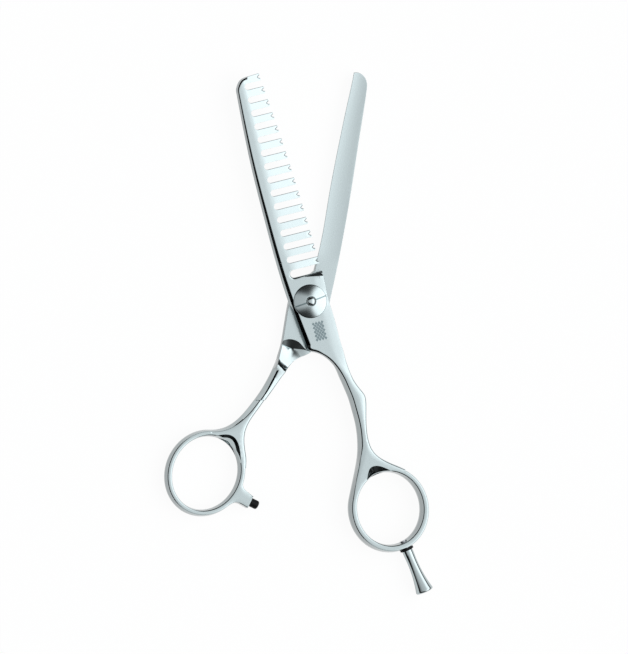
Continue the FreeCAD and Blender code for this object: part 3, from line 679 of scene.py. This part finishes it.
def straight_outline():
    """The edge of the straight half: blade edge, back, ring with the bumper arm, inner side."""
    left_end, arm_low, arm_high, right_end = 22.0, 238.0, 285.0, 300.0
    back = spline([(2.1, 9.4), (0.2, 8.0), (-3.0, 6.0), (-5.0, 3.0), (-5.75, 0.4), (-6.35, -2.6),
                   (-6.85, -5.5), (-7.35, -8.6), (-7.85, -11.6), (-8.35, -13.9), (-9.1, -16.3),
                   (-9.55, -17.85), (-10.2, -19.4), (-11.7, -22.5), (-14.3, -27.0), (-16.0, -29.4),
                   (-18.85, -33.0), (-21.8, -36.0), (-24.75, -37.9), (-27.4, -38.75),
                   tuple(THUMB.at(left_end, HALF_BAR))], last=THUMB.way(left_end, HALF_BAR))
    arc = THUMB.arc(left_end, arm_low, HALF_BAR)
    lower = spline([tuple(arc[-1]), (-24.1, -61.72), (-22.7, -61.2), (-21.4, -61.5), (-19.1, -62.75)],
                   0.15, first=THUMB.way(arm_low, HALF_BAR), last=(0.9, -0.45))
    upper = spline([(-17.35, -59.2), (-18.7, -58.05), (-19.75, -57.1), (-20.3, -56.0),
                    tuple(THUMB.at(arm_high, HALF_BAR))],
                   0.15, first=(-0.85, 0.6), last=THUMB.way(arm_high, HALF_BAR))
    bar = THUMB.arc(arm_high, right_end, HALF_BAR)
    inner = spline([tuple(bar[-1]), (-19.37, -48.2), (-19.74, -45.2), (-20.0, -42.1), (-19.57, -39.1),
                    (-18.1, -36.05), (-15.9, -33.0), (-13.25, -29.4), (-11.5, -27.0), (-9.35, -23.9),
                    (-8.2, -22.4), (-7.0, -20.9), (-5.8, -19.4), (-4.1, -17.85), (-1.8, -16.7),
                    (0.4, -15.7), (2.2, -14.0), (3.3, -11.9), (5.3, -6.0), (6.89, 0.95), (8.91, 10.1),
                    (11.08, 21.0), (13.63, 35.6), (15.92, 50.15), (18.1, 64.0), (18.2, 66.4),
                    (17.5, 68.2), (16.3, 69.25), (15.2, 69.62), (14.15, 69.55)],
                   first=THUMB.way(right_end, HALF_BAR))
    inner_keys = [(-60, RING), (-48, SLIM), (-34, SLIM), (-28, HANDLE), (-22, NECK_LOW), (-17, BLADE),
                  (80, BLADE)]
    back_keys = [(-41.5, RING), (-37.5, HANDLE_LEFT), (-33, SHANK_LEFT), (-28, SHANK_LEFT),
                 (-24, SHANK_TOP), (-20.6, SHANK_TOP), (-20.1, BLADE), (80, BLADE)]
    return chain(
        (EDGE, BLADE), (back, graded(back, back_keys)), (arc, RING), (lower, (RING, ARM)),
        (straight(lower[-1], upper[0]), BLADE), (upper, (ARM, RING)), (bar, RING),
        (inner, graded(inner, inner_keys)))


def across(run):
    """A line across the neck at this distance from the pivot, square to the shank."""
    return run * SHANK_WAY + np.arange(-8, 8, 0.25)[:, None] * left_of(SHANK_WAY)


def neck_top(q):
    """The scoop where the ground inner face ends, the neck that rises from it to the left,
    and the steep step up to the shank."""
    cove, lip = past(COVE, COVE_LOOP, q), past(LIP, LIP_LOOP, q)
    z = RIDE_TOP - COVE_SLOPE * np.clip(cove - lip, 0, None)
    run = q @ SHANK_WAY
    step = STEP_SLOPE * (STEP_TOP - STEP_FOOT)
    rise = np.clip((run - NECK_FOOT) / (STEP_FOOT - NECK_FOOT), 0, 1) * np.clip(lip / LIP_WIDTH, 0, 1)
    z = z + (HANDLE_TOP - step - z) * rise
    return z + STEP_SLOPE * np.clip(run - STEP_FOOT, 0, STEP_TOP - STEP_FOOT)


def hollow(q):
    """The shallow hollow ground along the inner face of the blade."""
    y = q[:, 1]
    width = np.interp(y, [12, 65], [7.2, 4.9])
    t = gap_to(EDGE, q) / width
    return HOLLOW * smooth((y - 10) / 6) * np.clip(1 - (2 * t - 1)**2, 0, 1)


def thumb_flare(q):
    """The flared fork: a sloping band, then a steep fall out of sight."""
    d = past(THUMB_FORK, THUMB_LOOP, q)
    return THUMB_FLARE * np.minimum(d, FLARE_BAND) + THUMB_FALL * np.clip(d - FLARE_BAND, 0, None)


def straight_base(q):
    """The back face: plate and handle, the bevel along the blade's edge and the nut's recess."""
    x, y = q.T
    plate = PLATE_LOW - (PLATE_LOW - HANDLE_LOW) * smooth((NECK_END - y) / 8)
    bevel = BEVEL_HIGH * np.clip(1 - gap_to(EDGE, q) / BEVEL_WIDE, 0, 1)
    z = plate + np.where(y > 8, bevel, 0) * smooth((y - 9) / 6)
    return np.where(np.hypot(x, y) < NUT_SEAT, NUT_SEAT_TOP, z)


def straight_top(q, gap, val):
    x, y = q.T
    neck = (y < -10) & (x < 3)
    z = np.where(neck, neck_top(np.where(neck[:, None], q, 0)), RIDE_TOP - hollow(q))
    z = shaped(q, gap, val, z, straight_base(q)) - thumb_flare(q)
    z = np.where(np.hypot(x, y) < GLIDE_SEAT, GLIDE_SEAT_TOP, z)
    return np.maximum(z, straight_base(q) + np.where(y < -30, LEAST, THIN_EDGE))


def straight_low(q, gap, val):
    return straight_base(q) + low_rise(q, gap, val) + THUMB_FLARE_LOW * past(THUMB_FORK, THUMB_LOOP, q)


straight_region = Region([straight_outline(), opening(THUMB, -HALF_BAR),
                          round_edge(3.3, BORE, step=4, way=-1)])
plain = build_plate("straight_blade_forging", straight_region, edge_steps, straight_top, straight_low,
                    lines=both_sides_of(GLIDE_SEAT) + both_sides_of(NUT_SEAT)
                    + [THUMB_FORK, beside(THUMB_FORK, -FLARE_BAND), COVE, beside(COVE, -0.7),
                       LIP, beside(LIP, -LIP_WIDTH), across(NECK_FOOT), across(STEP_FOOT),
                       across((STEP_FOOT + STEP_TOP) / 2), across(STEP_TOP)])

# ---------------------------------------------------------------- turned pieces

DISC_EDGE, BUTTON_HOLE = 5.15, 1.5
DISC_LOW, DISC_RIM, DISC_SLOPE, DISC_EASE = 5.58, 5.80, 0.43, 0.022
SLOT_HALF = 0.21                     # half width of the V-shaped slot, and its depth
SLOT_WAY = np.array([math.cos(math.radians(20)), math.sin(math.radians(20))])
CAP_RADIUS, CAP_LOW, CAP_RISE = 1.38, 6.97, 0.80


def slot_line(side, step=0.15):
    """A line across the disc beside the middle of the slot."""
    return np.arange(-DISC_EDGE, DISC_EDGE + step, step)[:, None] * SLOT_WAY + side * left_of(SLOT_WAY)


def disc_steps(val):
    return np.stack([val[:, ROUND_IN] * k for k in (0.05, 0.2, 0.42, 0.7, 1.0)], 1)


def disc_top(q, gap, val):
    """A cone that flattens towards the button, with a V-shaped slot across it."""
    run = DISC_EDGE - np.hypot(*q.T)
    z = DISC_RIM + DISC_SLOPE * run - DISC_EASE * run**2 - edge_drop(gap, val)
    return z - np.clip(SLOT_HALF - np.abs(q @ left_of(SLOT_WAY)), 0, None)


def disc_low(q, gap, val):
    return np.full(len(q), DISC_LOW)


disc = build_plate("pivot_disc", Region([round_edge(DISC_EDGE, edged(0.16, 0.12)),
                                         round_edge(BUTTON_HOLE, edged(0.12, 0.10), way=-1)]),
                   disc_steps, disc_top, disc_low, grid=0.3,
                   lines=[slot_line(side) for side in (-SLOT_HALF, 0, SLOT_HALF)])
journal = lathe("pivot_journal",
                [(0, 0.35), (1.9, 0.35), (2.0, 0.45), (2.0, 2.4), (2.5, 2.45), (2.5, DISC_LOW),
                 (BUTTON_HOLE - 0.1, DISC_LOW), (BUTTON_HOLE - 0.1, 6.3), (0, 6.3)])
button = lathe("pivot_button", [(0, 5.9), (1.28, 5.9), (1.28, 6.75), (1.40, 6.8), (1.40, 6.95)]
               + [(CAP_RADIUS * math.cos(a), CAP_LOW + CAP_RISE * math.sin(a))
                  for a in np.radians(np.linspace(0, 90, 14))])

# ---------------------------------------------------------------- etched mark

MARK_CENTRE, MARK_LEAN = np.array([2.9, -9.0]), math.radians(14)
MARK_ROW, MARK_COLUMN = 0.62, 0.95   # spacing of the lozenges
LOZENGE_UP, LOZENGE_SIDE = 0.54, 0.43            # half their height and width
MARK_PROUD, MARK_SUNK = 0.012, 0.05


def etched_mark():
    """A small etched ornament: a field of lozenges in staggered rows."""
    up = np.array([-math.sin(MARK_LEAN), math.cos(MARK_LEAN)])
    side = -left_of(up)
    corners = []
    for row in range(-4, 5):
        for column in range(4 - row % 2):
            right = (column - 1.5 + 0.5 * (row % 2)) * MARK_COLUMN
            centre = MARK_CENTRE + up * row * MARK_ROW + side * right
            corners += [centre + up * LOZENGE_UP, centre - side * LOZENGE_SIDE,
                        centre - up * LOZENGE_UP, centre + side * LOZENGE_SIDE]
    q = np.array(corners)
    top = comb_top(q, *comb_region.edge(q))
    n = len(q)
    verts = np.concatenate([np.column_stack([q, top + MARK_PROUD]), np.column_stack([q, top - MARK_SUNK])])
    faces = []
    for k in range(0, n, 4):
        loop = [k, k + 1, k + 2, k + 3]
        faces.append(loop)
        faces.append([i + n for i in loop[::-1]])
        faces += [[b, a, a + n, b + n] for a, b in zip(loop, loop[1:] + loop[:1])]
    return add_object("etched_mark", verts, faces)


mark = etched_mark()

# ---------------------------------------------------------------- materials


def adder(tree):
    """A short way to add a node: inputs by place, either a socket to join or a value."""
    def add(kind, *inputs, **settings):
        n = tree.nodes.new("ShaderNode" + kind)
        for key, value in settings.items():
            setattr(n, key, value)
        for i, value in enumerate(inputs):
            if isinstance(value, bpy.types.NodeSocket):
                tree.links.new(value, n.inputs[i])
            elif value is not None:
                n.inputs[i].default_value = value
        return n
    return add


def blank(name, metallic, **constants):
    """A material with its shader, and the means to add nodes to it."""
    m = bpy.data.materials.new(name)
    m.use_nodes = True
    shader = m.node_tree.nodes["Principled BSDF"]
    shader.inputs["Metallic"].default_value = metallic
    for key, value in constants.items():
        shader.inputs[key.replace("_", " ")].default_value = value
    return m, shader, adder(m.node_tree)


def colour_and_marks(m, shader, add, colour, spread, rough, coords, bump, painted_wall_shade=1.0):
    """Joins a noise to colour, roughness and bump; upright sides get painted shade, a base colour
    darker by a factor that stands in for the dim reflections they catch, fading out between two small slopes."""
    link = m.node_tree.links.new
    noise = add("TexNoise", coords, None, 1.0, 3.0, 0.55).outputs[0]
    tone = add("Mix", data_type="RGBA")
    link(noise, tone.inputs[0])
    for place, factor in ((6, 1 - spread), (7, 1 + spread)):
        tone.inputs[place].default_value = tuple(c * factor for c in colour) + (1,)
    out = tone.outputs[2]
    # painted shade: the base colour of upright sides is scaled down, standing in for the dim reflections they
    # catch
    if painted_wall_shade < 1:
        up = add("SeparateXYZ", add("NewGeometry").outputs["Normal"]).outputs[2]
        steep = add("Math", up, operation="ABSOLUTE").outputs[0]
        flat = add("MapRange", steep, 0.08, 0.32, painted_wall_shade, 1.0).outputs[0]
        out = add("VectorMath", out, operation="SCALE").outputs[0]
        link(flat, out.node.inputs["Scale"])
    link(out, shader.inputs["Base Color"])
    link(add("MapRange", noise, 0.0, 1.0, *rough).outputs[0], shader.inputs["Roughness"])
    link(add("Bump", bump, 0.00001, None, noise).outputs[0], shader.inputs["Normal"])
    return m


def stretched(add, scale, lean=0.0):
    """Object coordinates stretched along a direction this far from +Y."""
    where = add("TexCoord").outputs["Object"]
    leaning = add("VectorRotate", where, None, None, lean, rotation_type="Z_AXIS").outputs[0]
    return add("Mapping", leaning, None, None, scale).outputs[0]


def by_radius(add, scale):
    """Coordinates that change only with the distance from the pivot axis."""
    x, y, _ = add("SeparateXYZ", add("TexCoord").outputs["Object"]).outputs
    r = add("VectorMath", add("CombineXYZ", x, y, 0.0).outputs[0], operation="LENGTH").outputs["Value"]
    return add("CombineXYZ", add("Math", r, scale, operation="MULTIPLY").outputs[0], 0.0, 0.0).outputs[0]


STEEL = (0.445, 0.505, 0.515)


def steel(name, scale, rough, bump, spread=0.03, lean=0.0, painted_wall_shade=0.52, colour=STEEL):
    """Bare metal, marked by a fine noise, with painted shade darkening its upright sides by the given factor
    (none at 1).
    """
    m, shader, add = blank(name, 1.0)
    return colour_and_marks(m, shader, add, colour, spread, rough, stretched(add, scale, lean), bump, painted_wall_shade)


def spun(name, colour, rough):
    """Steel turned on a lathe, with rings about the pivot axis."""
    m, shader, add = blank(name, 1.0, Anisotropic=0.3)
    tangent = add("Tangent", direction_type="RADIAL", axis="Z")
    m.node_tree.links.new(tangent.outputs[0], shader.inputs["Tangent"])
    return colour_and_marks(m, shader, add, colour, 0.10, rough, by_radius(add, 9000.0), 0.35)


def dull(name, colour, rough, scale, bump, **constants):
    """Rubber or plastic, with the same fine noise in every direction."""
    m, shader, add = blank(name, 0.0, **constants)
    return colour_and_marks(m, shader, add, colour, 0.15, rough, stretched(add, (scale,) * 3), bump)


GRIND_LEAN = math.radians(11.4)      # the plain blade's grinding marks run along it
# polished and satin steel keep the default painted shade: upright sides darker by a factor of 0.52
POLISHED = steel("polished_steel", (900, 900, 900), (0.06, 0.12), 0.006)
SATIN = steel("satin_steel", (9000, 130, 4000), (0.22, 0.36), 0.10, spread=0.06, lean=GRIND_LEAN)
SPUN = spun("spun_steel", STEEL, (0.08, 0.20))
GROUND = steel("bearing_steel", (3000, 3000, 3000), (0.15, 0.25), 0.05, painted_wall_shade=1.0, colour=(0.36, 0.37, 0.39))
ETCHED = steel("etched_steel", (6000, 6000, 6000), (0.55, 0.70), 0.2, painted_wall_shade=1.0, colour=(0.27, 0.34, 0.36))
BRONZE = steel("bronze", (1500, 1500, 1500), (0.2, 0.32), 0.05, painted_wall_shade=1.0, colour=(0.55, 0.33, 0.14))
RUBBER = dull("black_rubber", (0.006, 0.006, 0.007), (0.38, 0.55), 5000, 0.3, Specular_IOR_Level=0.15)
POLYMER = dull("polymer", (0.80, 0.80, 0.76), (0.35, 0.5), 2500, 0.1)

FINISH = {"polished_steel": POLISHED, "spun_steel": SPUN, "bearing_steel": GROUND, "bronze": BRONZE,
          "polymer": POLYMER, "black_rubber": RUBBER}
NODE_SLOTS = {"pivot_nut": "spun_steel", "glide_washer": "polymer", "pivot_bush": "bronze",
              "lower_race": "bearing_steel", "upper_race": "bearing_steel", "tension_spring": "bearing_steel",
              "ball_cage": "bronze", "bearing_balls": "bearing_steel", "stop_bumper": "black_rubber",
              "bumper_core": "bearing_steel", "finger_rest": "polished_steel", "rest_washer": "black_rubber",
              "rest_stud": "bearing_steel"}

for node, slot in NODE_SLOTS.items():
    nodes[node].data.materials.clear()
    nodes[node].data.materials.append(FINISH[slot])

PIECES = [(comb, "comb_body", "polished_steel", POLISHED, ["comb_half"]),
          (plain, "straight_body", "polished_steel", POLISHED, ["straight_half"]),
          (disc, "screw_body", "spun_steel", SPUN, []),
          (journal, "screw_body", "polished_steel", POLISHED, ["pivot_screw"]),
          (button, "screw_body", "polished_steel", POLISHED, ["centre_cap"]),
          (mark, "comb_body", "polished_steel", ETCHED, [])]
for piece, body, slot, finish, stands_for in PIECES:
    piece.data.materials.append(finish)
    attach(piece, body)
    if stands_for:
        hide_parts(*stands_for)


def satin_blade():
    """The inner face of the plain blade, as far as the neck, is ground and not polished."""
    mesh = plain.data
    mesh.materials.append(SATIN)
    for face in mesh.polygons:
        _, y, z = face.center / MM
        if y > -11 and face.normal.z > 0.9 and z > GLIDE_SEAT_TOP + 0.1:
            face.material_index = 1


satin_blade()

# ---------------------------------------------------------------- light, floor and camera

# brightness by the angle to the side, and by the angle up or down the length, in degrees
SIDE_LIGHT = [(-90, 0.02), (-70, 0.03), (-56, 0.5), (-30, 0.85), (0, 1.05), (12, 1.22), (20, 1.58),
              (30, 2.05), (44, 2.2), (60, 2.4), (70, 0.4), (80, 0.02), (90, 0.02)]
END_LIGHT = [(-90, 1.0), (0, 1.0), (26, 0.92), (42, 0.05), (60, 0.02)]
TOP_LIGHT = 3.0
FLOOR_HALF, FLOOR_Z = 6000.0, -0.5   # the floor's half width, and its height just below the part
CAMERA_LEAN, CAMERA_AWAY = math.radians(12), 4.416       # the distance is in metres
CAMERA_TARGET = Vector((1.7, -7.8, 3.0)) * MM


def stops(ramp_node, table, place, top):
    """Fills a colour ramp from (angle, brightness) pairs."""
    r = ramp_node.color_ramp
    r.interpolation = "EASE"
    while len(r.elements) > 1:
        r.elements.remove(r.elements[-1])
    for i, (where, value) in enumerate(table):
        e = r.elements[0] if i == 0 else r.elements.new(place(where))
        e.position = place(where)
        e.color = (value / top,) * 3 + (1,)


def studio():
    """A wide soft light above, dark towards the horizon at both ends."""
    world = bpy.data.worlds.new("studio")
    bpy.context.scene.world = world
    world.use_nodes = True
    tree = world.node_tree
    tree.nodes.clear()
    add = adder(tree)
    xyz = add("SeparateXYZ", add("TexCoord").outputs["Generated"]).outputs
    side = add("Math", xyz[0], xyz[2], operation="ARCTAN2").outputs[0]
    by_side = add("ValToRGB", add("MapRange", side, -math.pi / 2, math.pi / 2, 0.0, 1.0).outputs[0])
    stops(by_side, SIDE_LIGHT, lambda d: (d + 90) / 180, TOP_LIGHT)
    skew = add("Math", xyz[0], -0.25, 0.05, operation="MULTIPLY_ADD").outputs[0]
    tall = add("Math", add("Math", xyz[1], operation="ABSOLUTE").outputs[0], skew, operation="ADD").outputs[0]
    by_end = add("ValToRGB", add("MapRange", tall, -1.0, 1.0, 0.0, 1.0).outputs[0])
    stops(by_end, END_LIGHT, lambda d: (math.sin(math.radians(d)) + 1) / 2, 1.0)
    light = add("Math", by_side.outputs[0], by_end.outputs[0], operation="MULTIPLY").outputs[0]
    strength = add("Math", light, TOP_LIGHT, operation="MULTIPLY").outputs[0]
    add("OutputWorld", add("Background", (0.97, 0.99, 1.0, 1), strength).outputs[0])


def pale_floor():
    h, z = FLOOR_HALF, FLOOR_Z
    floor = add_object("floor", [(-h, -h, z), (h, -h, z), (h, h, z), (-h, h, z)], [(0, 1, 2, 3)])
    paper, _, _ = blank("floor_paper", 0.0, Base_Color=(0.07, 0.07, 0.07, 1), Roughness=0.9,
                        Emission_Color=(1, 1, 1, 1), Emission_Strength=0.93)
    floor.data.materials.append(paper)


def place_camera():
    """Looks down from a little to the left, and from so far that there is next to no perspective."""
    camera = bpy.data.objects.new("camera", bpy.data.cameras.new("camera"))
    bpy.context.scene.collection.objects.link(camera)
    bpy.context.scene.camera = camera
    camera.data.lens = 800
    camera.data.sensor_fit = "VERTICAL"
    camera.data.sensor_height = 36
    camera.data.clip_end = 20
    away = Vector((-math.sin(CAMERA_LEAN), 0, math.cos(CAMERA_LEAN)))
    camera.location = CAMERA_TARGET + away * CAMERA_AWAY
    camera.rotation_euler = (0, -CAMERA_LEAN, 0)


studio()
pale_floor()
place_camera()
bpy.context.scene.view_settings.view_transform = "Standard"
